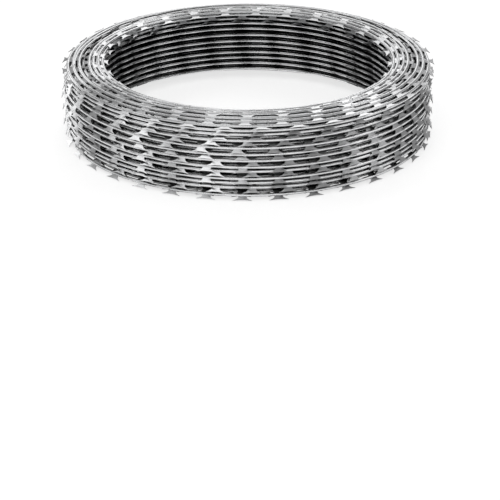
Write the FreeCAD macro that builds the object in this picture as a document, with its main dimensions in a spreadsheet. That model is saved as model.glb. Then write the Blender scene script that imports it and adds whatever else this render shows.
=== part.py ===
# Concertina razor wire coil, closed up and lying flat, in millimetres.
#
# A core wire with a barbed steel tape rolled around it is wound into one long helix of turns.
# Closed up, the turns nest like a stack of dished washers, in layers, into a ring with an open bore.
# Here the whole coil is one turned solid. The turns of the outer layer show outside as the edges of
# their tilted tape, which point out and down, and each layer shows on both ends as one ridge.
# Fish-tail barbs stand out from the lowest and the highest tape of the outer layer.
# The origin is in the middle of the bore, on the plane the coil rests on, with +Z up its axis.

import FreeCAD, Part
import os
import Sketcher

NODE = "razor_wire_coil"

# Driving dimensions: name, value, meaning
SIZES = [
    ("coil_diameter", 450, "over the tape's edges, without the barbs"),
    ("layers", 5, "layers of turns across the ring"),
    ("layer_pitch", 8.9, "thickness that one layer adds to the ring"),
    ("outer_turns", 11, "turns in the outer layer"),
    ("turn_pitch", 8.1, "height that one turn adds to the outer layer"),
    ("groove_depth", 3, "depth of the groove between two turns"),
    ("first_turn", 3.4, "height of the lowest tape's edge on the outside"),
    ("rest_width", 3, "width of the flat that touches the floor"),
    ("inner_rise", 9, "height of the inner layer's lowest ridge above the floor"),
    ("crown_rise", 7.2, "height of the inner layer's top above the outer layer's"),
    ("layer_fall", 0.6, "how much lower a layer ends than the one inside it"),
    ("tape_tilt", 45, "degrees that the outer layer's tape slopes down outwards"),
    ("barbs_per_turn", 34, "barbs around one turn"),
    ("barb_length", 22, "from tip to tip, along the wire"),
    ("barb_stand", 4.5, "how far a barb stands out from the tape's edge"),
    ("barb_root", 12, "width of a barb where it leaves the tape's edge"),
    ("barb_notch", 2, "depth of the notch between a barb's two tips"),
    ("tape_thickness", 0.5, "sheet that the tape is rolled from"),
]

OUTSIDE = "Sizes.coil_diameter / 2"
BORE = "(Sizes.coil_diameter / 2 - Sizes.layers * Sizes.layer_pitch)"


def make_sheet(doc):
    """The spreadsheet of driving dimensions, one row each: name, value, meaning."""
    sheet = doc.addObject("Spreadsheet::Sheet", "Sizes")
    for row, (name, value, meaning) in enumerate(SIZES, start=1):
        sheet.set(f"A{row}", name)
        sheet.set(f"B{row}", str(value))
        sheet.set(f"C{row}", meaning)
        sheet.setAlias(f"B{row}", name)
    doc.recompute()
    return sheet


def origin_feature(body, role):
    """One of the body's own origin planes or axes, found by its role."""
    return next(part for part in body.Origin.OriginFeatures if part.Role == role)


def value_of(sheet, expression):
    """The number that an expression on the sheet gives now."""
    result = sheet.evalExpression(expression)
    return float(getattr(result, "Value", result))


def closed_outline(sketch, sheet, corners):
    """Lines around the corners, each corner held by an expression for its two distances."""
    points = [FreeCAD.Vector(value_of(sheet, x), value_of(sheet, y), 0) for x, y in corners]
    count = len(points)
    for index in range(count):
        sketch.addGeometry(Part.LineSegment(points[index], points[(index + 1) % count]), False)
    for index in range(count):
        sketch.addConstraint(Sketcher.Constraint("Coincident", index, 2, (index + 1) % count, 1))
    for index, (corner, point) in enumerate(zip(corners, points)):
        for kind, size, expression in (("DistanceX", point.x, corner[0]), ("DistanceY", point.y, corner[1])):
            number = sketch.addConstraint(Sketcher.Constraint(kind, -1, 1, index, 1, size))
            sketch.setExpression(f"Constraints[{number}]", expression)


def outer_edge(turn):
    """Height of the tape's edge on one turn of the outer layer, counted from 0 at the floor."""
    return f"(Sizes.first_turn + {turn} * Sizes.turn_pitch)"


def underside(layers):
    """Ridges of the lower end, from the bore outwards, the last one flat where it rests."""
    corners = [(BORE, "Sizes.inner_rise + Sizes.groove_depth")]
    for layer in range(layers - 1):
        edge = f"Sizes.inner_rise * {layers - 1 - layer} / (Sizes.layers - 1)"
        corners.append((f"{BORE} + {layer + 0.5} * Sizes.layer_pitch", edge))
        corners.append((f"{BORE} + {layer + 1} * Sizes.layer_pitch", f"{edge} + Sizes.groove_depth"))
    middle = f"{OUTSIDE} - Sizes.layer_pitch / 2"
    corners.append((f"{middle} - Sizes.rest_width / 2", "0"))
    corners.append((f"{middle} + Sizes.rest_width / 2", "0"))
    return corners


def outside(turns):
    """Ridges of the outer layer, upwards: each tape slopes down and out to its edge."""
    corners = []
    for turn in range(turns - 1):
        edge = outer_edge(turn)
        groove = f"{edge} + Sizes.groove_depth * tan(Sizes.tape_tilt)"
        corners.append((OUTSIDE, edge))
        corners.append((f"{OUTSIDE} - Sizes.groove_depth", groove))
    corners.append((OUTSIDE, outer_edge(turns - 1)))
    return corners


def top_end(layers, turns):
    """Ridges of the upper end, inwards: the outer layer's last tape, then one ridge a layer."""
    outer_top = f"({outer_edge(turns - 1)} + Sizes.layer_pitch / 2 * tan(Sizes.tape_tilt))"
    corners = [(f"{OUTSIDE} - Sizes.layer_pitch / 2", outer_top)]
    top = outer_top
    for layer in reversed(range(layers - 1)):
        corners.append((f"{BORE} + {layer + 1} * Sizes.layer_pitch", f"{top} - Sizes.groove_depth"))
        top = f"{outer_top} + Sizes.crown_rise - {layer} * Sizes.layer_fall"
        corners.append((f"{BORE} + {layer + 0.5} * Sizes.layer_pitch", top))
    corners.append((BORE, f"{top} - Sizes.groove_depth"))
    return corners


def make_ring(doc, sheet):
    """The body of the coil, with its section revolved about the axis."""
    layers = int(value_of(sheet, "Sizes.layers"))
    turns = int(value_of(sheet, "Sizes.outer_turns"))
    body = doc.addObject("PartDesign::Body", "Coil")
    body.Label = NODE
    section = body.newObject("Sketcher::SketchObject", "Section")
    section.AttachmentSupport = (origin_feature(body, "XZ_Plane"), [""])
    section.MapMode = "FlatFace"
    closed_outline(section, sheet, underside(layers) + outside(turns) + top_end(layers, turns))
    ring = body.newObject("PartDesign::Revolution", "Ring")
    ring.Profile = section
    ring.ReferenceAxis = (section, ["V_Axis"])
    ring.Angle = 360
    body.Tip = ring
    return body


def barb_corners():
    """A fish-tail barb as (along the wire, out from the tape's edge) expressions, once round."""
    root, tip = "Sizes.barb_root / 2", "Sizes.barb_length / 2"
    foot, edge, notch = "-Sizes.groove_depth / 2", "Sizes.barb_stand", "Sizes.barb_stand - Sizes.barb_notch"
    return [(f"-{root}", foot), (root, foot), (tip, edge), ("0", notch), (f"-{tip}", edge)]


def add_barbs(body, sheet, name, plane, turn):
    """The barbs of one turn of the outer layer, in the plane of its tilted tape."""
    outline = body.newObject("Sketcher::SketchObject", f"{name}Outline")
    outline.AttachmentSupport = (origin_feature(body, plane), [""])
    outline.MapMode = "FlatFace"
    outline.AttachmentOffset = FreeCAD.Placement(
        FreeCAD.Vector(0, 0, 0), FreeCAD.Rotation(FreeCAD.Vector(1, 0, 0), 90))
    outline.setExpression("AttachmentOffset.Base.y", outer_edge(turn))
    outline.setExpression("AttachmentOffset.Base.z", OUTSIDE)
    outline.setExpression("AttachmentOffset.Rotation.Angle", "90 + Sizes.tape_tilt")
    closed_outline(outline, sheet, barb_corners())
    barb = body.newObject("PartDesign::Pad", f"{name}Barb")
    barb.Profile = outline
    barb.Midplane = True
    barb.setExpression("Length", "Sizes.tape_thickness")
    row = body.newObject("PartDesign::PolarPattern", f"{name}Row")
    row.Originals = [barb]
    row.Axis = (origin_feature(body, "Z_Axis"), [""])
    row.Angle = 360
    row.setExpression("Occurrences", "Sizes.barbs_per_turn")
    body.Tip = row


doc = FreeCAD.newDocument("RazorWireCoil")
sheet = make_sheet(doc)
coil = make_ring(doc, sheet)
doc.recompute()
add_barbs(coil, sheet, "Lowest", "YZ_Plane", 0)
add_barbs(coil, sheet, "Highest", "XZ_Plane", "(Sizes.outer_turns - 1)")
doc.recompute()

for item in doc.Objects:
    if {"Invalid", "Error"} & set(item.State):
        raise RuntimeError(f"{item.Name} failed: {item.State}")
if coil.Shape.isNull() or not coil.Shape.isValid():
    raise RuntimeError("the coil's shape is not valid")

os.makedirs("parts", exist_ok=True)
coil.Shape.exportStep(f"parts/{coil.Label}.step")
box = coil.Shape.BoundBox
print(coil.Label, "solids", len(coil.Shape.Solids), "volume", round(coil.Shape.Volume), "mm3")
print("size", round(box.XLength, 1), round(box.YLength, 1), round(box.ZLength, 1))
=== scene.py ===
# %% [markdown]
# # A closed coil of concertina razor wire
#
# The real thing is one long strand. A spring-steel core wire, 2.5 mm thick, has a steel tape rolled
# around it, and the tape's two edges are punched into fish-tail barbs. The strand is wound into
# turns, layer upon layer, and the turns are closed up into a flat ring that you could carry on your
# arm, with gloves.
#
# We copy how it is made. First comes one short link of tape with one set of barbs, then a straight
# strand of a few hundred links, then the path that the turns follow. A Curve modifier lays the
# strand along that path. So a change to one barb changes all five thousand of them.

# %% The frame
import math

import bmesh
import bpy
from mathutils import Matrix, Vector


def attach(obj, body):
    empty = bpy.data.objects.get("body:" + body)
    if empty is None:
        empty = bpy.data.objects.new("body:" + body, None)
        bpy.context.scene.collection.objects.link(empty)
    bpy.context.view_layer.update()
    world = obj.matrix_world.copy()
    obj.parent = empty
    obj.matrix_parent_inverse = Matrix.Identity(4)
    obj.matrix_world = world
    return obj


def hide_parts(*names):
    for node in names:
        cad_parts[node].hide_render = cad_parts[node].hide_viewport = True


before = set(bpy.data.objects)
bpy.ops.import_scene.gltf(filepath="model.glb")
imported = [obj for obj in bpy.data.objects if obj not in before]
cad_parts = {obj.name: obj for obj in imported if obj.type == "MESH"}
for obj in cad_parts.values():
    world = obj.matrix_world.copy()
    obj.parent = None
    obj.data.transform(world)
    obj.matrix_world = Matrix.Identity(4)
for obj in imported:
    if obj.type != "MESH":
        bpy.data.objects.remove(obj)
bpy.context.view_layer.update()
bpy.ops.object.select_all(action="DESELECT")

# %% [markdown]
# ## The strand in numbers
#
# Everything that can be measured on the strand is named here, in metres.

# %% Measures
WIRE_RADIUS = 0.00175          # core wire with the tape rolled around it
SHEET = 0.0005                 # thickness of the tape
EDGE = 0.0020                  # from the wire's middle to the tape's plain edge
ROOT = 0.0092                  # a barb's width where it leaves the tape
SIDES = (                      # then how far out, and how wide there, up to the notch's floor
    (0.0042, 0.0104),
    (0.0056, 0.0138),
    (0.0067, 0.0184),
)
NOTCH = ROOT / 5               # half the width of the notch at its floor, before the sides flare
REACH = 0.0076                 # from the wire's middle to a barb's tips
TIPS = 0.0224                  # a barb's width from tip to tip
SHARPNESS = 0.12               # what is left of a tip's width where it ends
BARBS_PER_TURN = 34            # on the outer layer

OUTER_RADIUS = 0.2229          # of the wire, in the outer layer
link = 2 * math.pi * OUTER_RADIUS / BARBS_PER_TURN
print("one link of tape is", round(1000 * link, 2), "mm long")

# %% [markdown]
# ## Galvanised steel
#
# New galvanised tape is bright and a little cloudy. It is a metal, so its colour is its reflection,
# and the cloudiness is a change of grey and of roughness from place to place. The same finish is
# made twice, brighter for the wire and duller for the flat tape. Partly that is the polish where the
# tape is rolled tight around the wire, and partly it is a painted highlight along the ridges.
#
# Deep between the turns little light comes in, and that shade is painted into the colour. An
# Ambient Occlusion node measures how open a place is, and a place that isn't open enough is painted
# nearly black. How open is enough depends on where the surface faces, so the painted shade also
# falls by side. What faces out or up is painted dark only deep in a gap. The tape is painted dark
# wherever it faces the bore or down. The wire is so only behind the bore's own turns and below the
# crown.

# %% The finish in numbers
# the grey of the shade painted deep in the gaps
PAINTED_SHADE_GREY = (0.008, 0.008, 0.008, 1)
BORE_FACING, OUT_FACING = -0.6, 0.1        # 1 faces straight out or up, -1 the bore or down
BORE_TURNS, BEHIND_THEM = 0.187, 0.190     # radius
CROWN, BELOW_CROWN = 0.090, 0.086          # height
SHELTER_DISTANCE = 0.02                    # how far a neighbour can be and still take light
SHELTER_FADE = 0.2                         # how much more open a bright place is than a black one
CLOUDS_PER_METRE = 90
ZINC_TINT = (1, 1.005, 1.015)              # a little blue


# %% The zinc finish
def zinc_finish(name, dark, bright, smooth, coarse, bore_shade, outer_shade):
    """A cloudy zinc finish, between two greys and two roughnesses, with shade painted in the gaps.

    A place is painted dark, as shade, until it is more open than the shade: bore_shade where it
    faces the bore or down, and outer_shade where it faces out or up.
    """
    finish = bpy.data.materials.new(name)
    finish.use_nodes = True
    nodes, links = finish.node_tree.nodes, finish.node_tree.links
    shader = nodes["Principled BSDF"]
    shader.inputs["Metallic"].default_value = 1.0

    def combine(kind, operation, first, second=None):
        """A node that does one operation on one or two sockets."""
        made = nodes.new(kind)
        made.operation = operation
        links.new(first, made.inputs[0])
        if second:
            links.new(second, made.inputs[1])
        return made

    def spread(value, start, end, low, high):
        """A node that turns start to end of a value into low to high, and holds it there."""
        made = nodes.new("ShaderNodeMapRange")
        made.inputs["From Min"].default_value = start
        made.inputs["From Max"].default_value = end
        made.inputs["To Min"].default_value = low
        made.inputs["To Max"].default_value = high
        links.new(value, made.inputs["Value"])
        return made

    # clouds of grey and roughness
    place = nodes.new("ShaderNodeTexCoord")
    clouds = nodes.new("ShaderNodeTexNoise")
    clouds.inputs["Scale"].default_value = CLOUDS_PER_METRE
    clouds.inputs["Detail"].default_value = 4
    links.new(place.outputs["Object"], clouds.inputs["Vector"])
    tone = nodes.new("ShaderNodeValToRGB")
    for element, position, grey in zip(tone.color_ramp.elements, (0.3, 0.7), (dark, bright)):
        element.position = position
        element.color = (*(grey * tint for tint in ZINC_TINT), 1)
    links.new(clouds.outputs["Fac"], tone.inputs["Fac"])
    rough = spread(clouds.outputs["Fac"], 0, 1, smooth, coarse)
    links.new(rough.outputs["Result"], shader.inputs["Roughness"])

    # where the surface faces, for the shade painted by side: +1 out or up, -1 to the bore or down
    around = combine("ShaderNodeVectorMath", "MULTIPLY", place.outputs["Object"])
    around.inputs[1].default_value = (1, 1, 0)
    level = combine("ShaderNodeVectorMath", "NORMALIZE", around.outputs["Vector"])
    outward = combine("ShaderNodeVectorMath", "ADD", level.outputs["Vector"])
    outward.inputs[1].default_value = (0, 0, 1)
    facing = combine(
        "ShaderNodeVectorMath", "DOT_PRODUCT", outward.outputs["Vector"], place.outputs["Normal"])

    # inside the coil, behind the bore's turns and below the crown, what faces the bore or down is
    # painted dark as shade
    radius = combine("ShaderNodeVectorMath", "LENGTH", around.outputs["Vector"])
    height = nodes.new("ShaderNodeSeparateXYZ")
    links.new(place.outputs["Object"], height.inputs["Vector"])
    behind = spread(radius.outputs["Value"], BORE_TURNS, BEHIND_THEM, 0, 1)
    below = spread(height.outputs["Z"], CROWN, BELOW_CROWN, 0, 1)
    inside = combine("ShaderNodeMath", "MULTIPLY", behind.outputs["Result"], below.outputs["Result"])
    bore_side = spread(inside.outputs["Value"], 0, 1, bore_shade, 1)
    shade = spread(facing.outputs["Value"], BORE_FACING, OUT_FACING, 0, outer_shade)
    links.new(bore_side.outputs["Result"], shade.inputs["To Min"])

    # painted shade: nearly black where it is less open than the shade
    shelter = nodes.new("ShaderNodeAmbientOcclusion")
    shelter.samples = 8
    shelter.inputs["Distance"].default_value = SHELTER_DISTANCE
    above = combine("ShaderNodeMath", "SUBTRACT", shelter.outputs["AO"], shade.outputs["Result"])
    depth = spread(above.outputs["Value"], 0, SHELTER_FADE, 0, 1)
    # the base colour: the clouds of grey, painted nearly black as shade where the place is sheltered
    painted_shade_mix = nodes.new("ShaderNodeMix")
    painted_shade_mix.data_type = "RGBA"
    painted_shade_mix.inputs["A"].default_value = PAINTED_SHADE_GREY
    links.new(depth.outputs["Result"], painted_shade_mix.inputs["Factor"])
    links.new(tone.outputs["Color"], painted_shade_mix.inputs["B"])
    links.new(painted_shade_mix.outputs["Result"], shader.inputs["Base Color"])
    return finish


# The wire's greys are a little brighter than the tape's: partly the polish where the tape is rolled
# tight, partly a painted highlight along the ridges.
tape_zinc = zinc_finish(
    "zinc_tape", dark=0.62, bright=0.80, smooth=0.24, coarse=0.38,
    bore_shade=1.0, outer_shade=0.24)
wire_zinc = zinc_finish(
    "zinc_wire", dark=0.70, bright=0.86, smooth=0.22, coarse=0.34,
    bore_shade=0.16, outer_shade=0.14)

# %% [markdown]
# ## Selecting by place
#
# In Blender's window you would click on a face to select it. A script says where the face is
# instead. This helper selects what passes a test, and the next operator then acts on that alone.


# %% Helpers for edit mode
def pick_faces(test):
    """Selects, in edit mode, the faces whose middle passes the test."""
    bpy.ops.mesh.select_mode(type="FACE")
    bpy.ops.mesh.select_all(action="DESELECT")
    shape = bmesh.from_edit_mesh(bpy.context.object.data)
    for face in shape.faces:
        if test(face.calc_center_median()):
            face.select_set(True)
    bmesh.update_edit_mesh(bpy.context.object.data)


def cut_across(places):
    """Cuts the whole mesh across the strand at each place along X."""
    for place in places:
        bpy.ops.mesh.select_all(action="SELECT")
        bpy.ops.mesh.bisect(plane_co=(place, 0, 0), plane_no=(1, 0, 0))


def near(a, b):
    """Whether two lengths are the same to a hundredth of a millimetre."""
    return abs(a - b) < 1e-5


# %% [markdown]
# ## One link of barbed tape
#
# A punch cuts the barbs out of flat tape, so the link starts as a flat strip. The strip is cut
# across where a barb starts and ends. The side faces between these cuts are pulled out in three
# steps, each wider than the one before, which gives the fish tail its short neck and its flare.
# That ends at the floor of the notch. Then the outer face on each side of the notch is pulled on to
# a sharp tip. Both edges of the tape get the same.
#
# The other cuts, an eighth of a link apart, are there because the link has to bend smoothly.

# %% The flat tape with its barbs
bpy.ops.mesh.primitive_cube_add(size=1, location=(link / 2, 0, 0), scale=(link, 2 * EDGE, SHEET))
tape = bpy.context.object
tape.name = "link"
tape.data.materials.append(tape_zinc)
bpy.ops.object.transform_apply(location=True, rotation=True, scale=True)
bpy.ops.object.mode_set(mode="EDIT")
middle = link / 2
cut_across([link * part / 8 for part in (1, 2, 6, 7)])
cut_across([middle + place for place in (-ROOT / 2, -NOTCH, NOTCH, ROOT / 2)])

for side in (-1, 1):
    reached, width = EDGE, ROOT
    pick_faces(lambda at: near(at.y, side * EDGE) and abs(at.x - middle) < ROOT / 2)
    for out, wide in SIDES:
        bpy.ops.mesh.extrude_region_move(
            TRANSFORM_OT_translate={"value": (0, side * (out - reached), 0)})
        bpy.ops.transform.resize(
            value=(wide / width, 1, 1), center_override=(middle, side * out, 0))
        reached, width = out, wide
    for end in (-1, 1):
        pick_faces(lambda at: near(at.y, side * reached) and end * (at.x - middle) > NOTCH)
        bpy.ops.mesh.extrude_region_move(
            TRANSFORM_OT_translate={"value": (0, side * (REACH - reached), 0)})
        bpy.ops.transform.resize(
            value=(SHARPNESS, 1, 1), center_override=(middle + end * TIPS / 2, side * REACH, 0))

pick_faces(lambda at: near(at.x, 0) or near(at.x, link))
bpy.ops.mesh.delete(type="FACE")
bpy.ops.object.mode_set(mode="OBJECT")
print("tape link:", len(tape.data.polygons), "faces")

# %% [markdown]
# ## The core wire
#
# The wire is a tube of eight sides along the same link, open at both ends so that links can join.
# It is cut about as often as the tape, because both have to bend smoothly around the coil.

# %% The wire inside the tape
bpy.ops.object.select_all(action="DESELECT")
bpy.ops.mesh.primitive_cylinder_add(
    vertices=8, radius=WIRE_RADIUS, depth=link, end_fill_type="NOTHING",
    location=(link / 2, 0, 0), rotation=(0, math.pi / 2, 0))
wire = bpy.context.object
wire.data.materials.append(wire_zinc)
bpy.ops.object.transform_apply(location=True, rotation=True, scale=True)
bpy.ops.object.mode_set(mode="EDIT")
cut_across([link * part / 8 for part in range(1, 8)])
bpy.ops.object.mode_set(mode="OBJECT")
bpy.ops.object.shade_smooth()
tape.select_set(True)
bpy.context.view_layer.objects.active = tape
bpy.ops.object.join()
print("whole link:", len(tape.data.polygons), "faces")

# %% [markdown]
# ## The path of the turns
#
# The turns nest like dished washers. A station gives, for one turn, the wire's radius and height in
# millimetres and the tape's slope in degrees, down and out. Seen in section:
#
# - the bore's turns slope by 20 degrees, and at the bore's upper corner they slope down and in;
# - the crown's rings lie nearly flat;
# - the layers inside the coil stand nearly upright, so that they close the gaps in front of them
#   and no daylight shows, but near the floor and the crown they slope by about 30 degrees;
# - the outer layer and the one behind it slope by about 40 degrees.
#
# The path goes up the bore and over the crown's inner rings, then down and up through the layers
# inside and over the crown's outer rings. Then it goes down the layer behind the outer one, up the
# outer layer and over its shoulder. The last station of all lies under the crown, where the
# strand's end is tucked away.

# %% Heights of the turns
bore_rows = [12.7, 20.9, 29.0, 36.3, 44.2, 51.9, 60.3, 68.3, 76.2]
second_rows = [height - 0.6 for height in bore_rows] + [82.4, 88.0]
third_rows = [5.5] + [height - 0.9 for height in bore_rows] + [83.0, 88.0]
outer_rows = [5.6, 14.9, 20.0, 25.7, 34.9, 39.6, 48.1, 56.0, 63.9, 73.1, 80.6]
STEEP_FROM, STEEP_TO = 15, 80  # heights between which the layers inside stand nearly upright


# %% Stations, one for each turn
def hidden_layer(radius, rows, steep, flat):
    """Stations of a layer inside the coil, steep but for its rows near the floor and the crown."""
    return [(radius, height, steep if STEEP_FROM < height < STEEP_TO else flat) for height in rows]


stations = [(183.4, height, 20) for height in bore_rows]
stations += [(183.6, 82.3, -18), (184.5, 87.0, -36)]
stations += [(179.0, 92.6, -20), (184.9, 94.1, -9), (190.8, 93.6, 8), (196.5, 94.0, 9)]
stations += hidden_layer(193.3, reversed(second_rows), 80, 30)
stations += hidden_layer(198.3, bore_rows, 85, 30)
stations += hidden_layer(203.2, reversed(third_rows), 95, 32)
stations += hidden_layer(208.2, third_rows[:-1], 88, 32)
stations += [(202.5, 91.4, 10), (208.3, 93.0, 14), (214.4, 89.9, 14)]
stations += [(213.1, height, 38) for height in reversed(outer_rows + [86.0])]
outer_start = len(stations)
stations += [(222.9, height, 45 if height > 10 else 36) for height in outer_rows]
stations += [(222.4, 85.2, 42), (221.6, 89.4, 8), (214.8, 91.6, 12), (208.8, 87.6, 20)]
print(len(stations), "turns")

# %% [markdown]
# The path's own points lie between the stations, 72 to a turn. Real turns never lie quite round,
# so the radius and the height wander a little, by slow waves that don't repeat from turn to turn.
#
# Each turn lies level until it is past the back, and crosses over to the next one on the left.
#
# The barbs of one turn don't stand exactly over those of the turn below. Where they stand depends
# on the length of wire in a turn, so on its radius. `barb_steps` gives, for the outer layer, how
# far the barbs move on from turn to turn, in links. The turn bulges at the back by as much as that
# needs.

# %% How a turn departs from a true ring
POINTS_PER_TURN = 72
CROSSING_START, CROSSING_LENGTH = 0.56, 0.24          # in turns, from the front by the right
RADIUS_WAVES = ((0.93, 0.5), (1.37, 0.4))             # waves in a turn, and millimetres
HEIGHT_WAVES = ((1.07, 0.4), (0.71, 0.3))
TUCKED_IN = 0.14               # the strand ends this much of a turn before its last station
FRONT_BARB = -0.147            # where the nearest barb of the lowest outer turn stands, in links
barb_steps = [0.27, -0.27, 0.0, 0.27, -0.27, 0.27, -0.30, -0.15, 0.28, 0.2]


def wander(turns, waves):
    """How far a turn is off, in millimetres, after this many turns."""
    return sum(size * math.sin(2 * math.pi * rate * turns) for rate, size in waves)


# %% The path as a curve
def path_point(turns):
    """Place and slope on the path after this many turns, counted from the front."""
    before = min(int(turns), len(stations) - 2)
    part = turns - before
    here, there = stations[before], stations[before + 1]
    over = min(max((part - CROSSING_START) / CROSSING_LENGTH, 0), 1)
    over = over * over * (3 - 2 * over)
    radius, height, slope = (a + over * (b - a) for a, b in zip(here, there))
    if 0 <= before - outer_start < len(barb_steps):
        bulge = -1000 * link * barb_steps[before - outer_start] / math.pi
        radius += bulge * (1 - math.cos(2 * math.pi * part)) / 2
    radius += wander(turns, RADIUS_WAVES)
    height += wander(turns, HEIGHT_WAVES)
    angle = 2 * math.pi * (turns - 0.25)      # the front is at -Y
    place = (radius * math.cos(angle), radius * math.sin(angle), height)
    return [side / 1000 for side in place], math.radians(slope)


count = int((len(stations) - 1 - TUCKED_IN) * POINTS_PER_TURN)
guide = bpy.data.curves.new("turn_path", "CURVE")
guide.dimensions = "3D"
guide.twist_mode = "Z_UP"
line = guide.splines.new("POLY")
line.points.add(count - 1)
for number, point in enumerate(line.points):
    place, slope = path_point(number / POINTS_PER_TURN)
    point.co = (*place, 1)
    point.tilt = slope
path = bpy.data.objects.new("turn_path", guide)
bpy.context.collection.objects.link(path)

# %% [markdown]
# The strand starts a little along the path, so that a barb of the lowest outer turn stands at the
# front where it should.

# %% Where the strand starts
path_length = line.calc_length()
before_outer = sum(
    (line.points[at + 1].co - line.points[at].co).length
    for at in range(outer_start * POINTS_PER_TURN))
offset = ((before_outer / link + FRONT_BARB - 0.5) % 1) * link
links_in_all = int((path_length - offset) / link)
print("path", round(path_length, 2), "m, room for", links_in_all, "links")

# %% [markdown]
# ## From link to coil
#
# An Array modifier makes a straight strand and joins the links end to end. A Curve modifier then
# bends it along the path. The strand is made in pieces, because one mesh of all its links would be
# slow to handle. Each piece starts along X where the one before it stops.

# %% Strands laid along the path
PIECES = 6
pieces = []
start = 0
for number in range(PIECES):
    stop = links_in_all * (number + 1) // PIECES
    strand = tape.copy()
    strand.data = tape.data.copy()
    strand.name = strand.data.name = f"razor_wire_{number + 1}"
    bpy.context.collection.objects.link(strand)
    bpy.ops.object.select_all(action="DESELECT")
    strand.select_set(True)
    bpy.context.view_layer.objects.active = strand

    row = strand.modifiers.new("row", "ARRAY")
    row.count = stop - start
    row.use_relative_offset = False
    row.use_constant_offset = True
    row.constant_offset_displace = (link, 0, 0)
    row.use_merge_vertices = True
    row.merge_threshold = 1e-5
    bpy.ops.object.modifier_apply(modifier="row")

    bpy.ops.object.mode_set(mode="EDIT")
    bpy.ops.mesh.select_all(action="SELECT")
    bpy.ops.mesh.fill_holes(sides=0)
    bpy.ops.object.mode_set(mode="OBJECT")

    strand.location.x = offset + start * link
    bpy.ops.object.transform_apply(location=True, rotation=False, scale=False)
    bend = strand.modifiers.new("bend", "CURVE")
    bend.object = path
    bend.deform_axis = "POS_X"
    bpy.ops.object.modifier_apply(modifier="bend")
    pieces.append(strand)
    start = stop
    triangles = sum(len(face.vertices) - 2 for face in strand.data.polygons)
    print(strand.name, triangles, "triangles")

bpy.data.objects.remove(tape)
bpy.data.objects.remove(path)

# %% Handing the strands over
for piece in pieces:
    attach(piece, "root")
    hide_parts("razor_wire_coil")

# %% [markdown]
# ## Floor, light and camera
#
# The floor is white where the camera or a reflection sees it, and it still takes a faint shadow.

# %% A white floor
FLOOR_GLOW = 0.73              # the rest up to white is light from the lamps and the world

bpy.ops.object.select_all(action="DESELECT")
bpy.ops.mesh.primitive_plane_add(size=30, location=(0, 0, 0))
floor = bpy.context.object
floor.name = "floor"
white = bpy.data.materials.new("floor_white")
white.use_nodes = True
nodes, links = white.node_tree.nodes, white.node_tree.links
shader = nodes["Principled BSDF"]
shader.inputs["Base Color"].default_value = (0.6, 0.6, 0.6, 1)
shader.inputs["Roughness"].default_value = 0.9
shader.inputs["Specular IOR Level"].default_value = 0.0
rays = nodes.new("ShaderNodeLightPath")
seen = rays.outputs["Is Camera Ray"]
for other in ("Is Glossy Ray", "Is Transmission Ray"):
    either = nodes.new("ShaderNodeMath")
    either.operation = "MAXIMUM"
    links.new(seen, either.inputs[0])
    links.new(rays.outputs[other], either.inputs[1])
    seen = either.outputs["Value"]
glow = nodes.new("ShaderNodeMath")
glow.operation = "MULTIPLY"
glow.inputs[1].default_value = FLOOR_GLOW
links.new(seen, glow.inputs[0])
shader.inputs["Emission Color"].default_value = (1, 1, 1, 1)
links.new(glow.outputs["Value"], shader.inputs["Emission Strength"])
floor.data.materials.append(white)

# %% [markdown]
# Bare metal looks like what it mirrors, so the coil's bright and dark parts come from where the
# lamps stand. The crown's flat rings mirror the tall back wall.

# %% Studio light
world = bpy.data.worlds.new("studio")
bpy.context.scene.world = world
world.use_nodes = True
back = world.node_tree.nodes["Background"]
back.inputs["Color"].default_value = (1, 1, 1, 1)
back.inputs["Strength"].default_value = 0.26
bpy.context.scene.view_settings.view_transform = "Standard"

COIL_MIDDLE = Vector((0, 0, 0.05))


def softbox(name, place, wide, high, power):
    """An area lamp at a place, turned to the coil, its size in metres and its power in watts."""
    lamp = bpy.data.lights.new(name, "AREA")
    lamp.shape = "RECTANGLE"
    lamp.size, lamp.size_y = wide, high
    lamp.energy = power
    holder = bpy.data.objects.new(name, lamp)
    bpy.context.collection.objects.link(holder)
    holder.location = place
    holder.rotation_euler = (COIL_MIDDLE - Vector(place)).to_track_quat("-Z", "Y").to_euler()


softbox("key_front", (-0.58, -0.88, 2.05), 0.75, 0.75, 3.4)
softbox("key_left", (-1.54, -0.05, 1.75), 0.75, 0.75, 3.4)
softbox("rim_left", (-1.60, 1.80, 0.75), 0.9, 0.9, 4.5)
softbox("rim_right", (1.95, -0.4, 1.1), 0.8, 0.8, 4.5)
softbox("back_wall", (0, 2.7, 1.75), 1.35, 3.4, 16)
softbox("front_strip", (0, -1.8, 1.7), 3.0, 0.2, 3)
softbox("front_low", (0, -3.0, 0.75), 3.2, 1.0, 11)
softbox("top_right", (0.9, 2.0, 2.0), 0.9, 0.9, 4.5)

# %% [markdown]
# The photograph is a long-lens view from a little above. Distance, height, pitch and focal length
# (in pixels of a 500 pixel frame) come from matching the coil's four rims.

# %% The camera
FRAME_PIXELS = 500
FOCAL_PIXELS = 1802.4
SENSOR_WIDTH = 36              # millimetres
DISTANCE = 2.25
ELEVATION = math.radians(20.52)
PITCH = math.radians(25.55)
AIM_HEIGHT = 0.04825
COIL_MIDDLE_X = 248            # the coil's axis in the frame, in pixels

camera = bpy.data.cameras.new("camera")
camera.sensor_width = SENSOR_WIDTH
camera.lens = FOCAL_PIXELS / FRAME_PIXELS * SENSOR_WIDTH
eye = bpy.data.objects.new("camera", camera)
bpy.context.collection.objects.link(eye)
across = (FRAME_PIXELS / 2 - COIL_MIDDLE_X) / FOCAL_PIXELS * DISTANCE
eye.location = (
    across, -DISTANCE * math.cos(ELEVATION), AIM_HEIGHT + DISTANCE * math.sin(ELEVATION))
eye.rotation_euler = (math.pi / 2 - PITCH, 0, 0)
bpy.context.scene.camera = eye
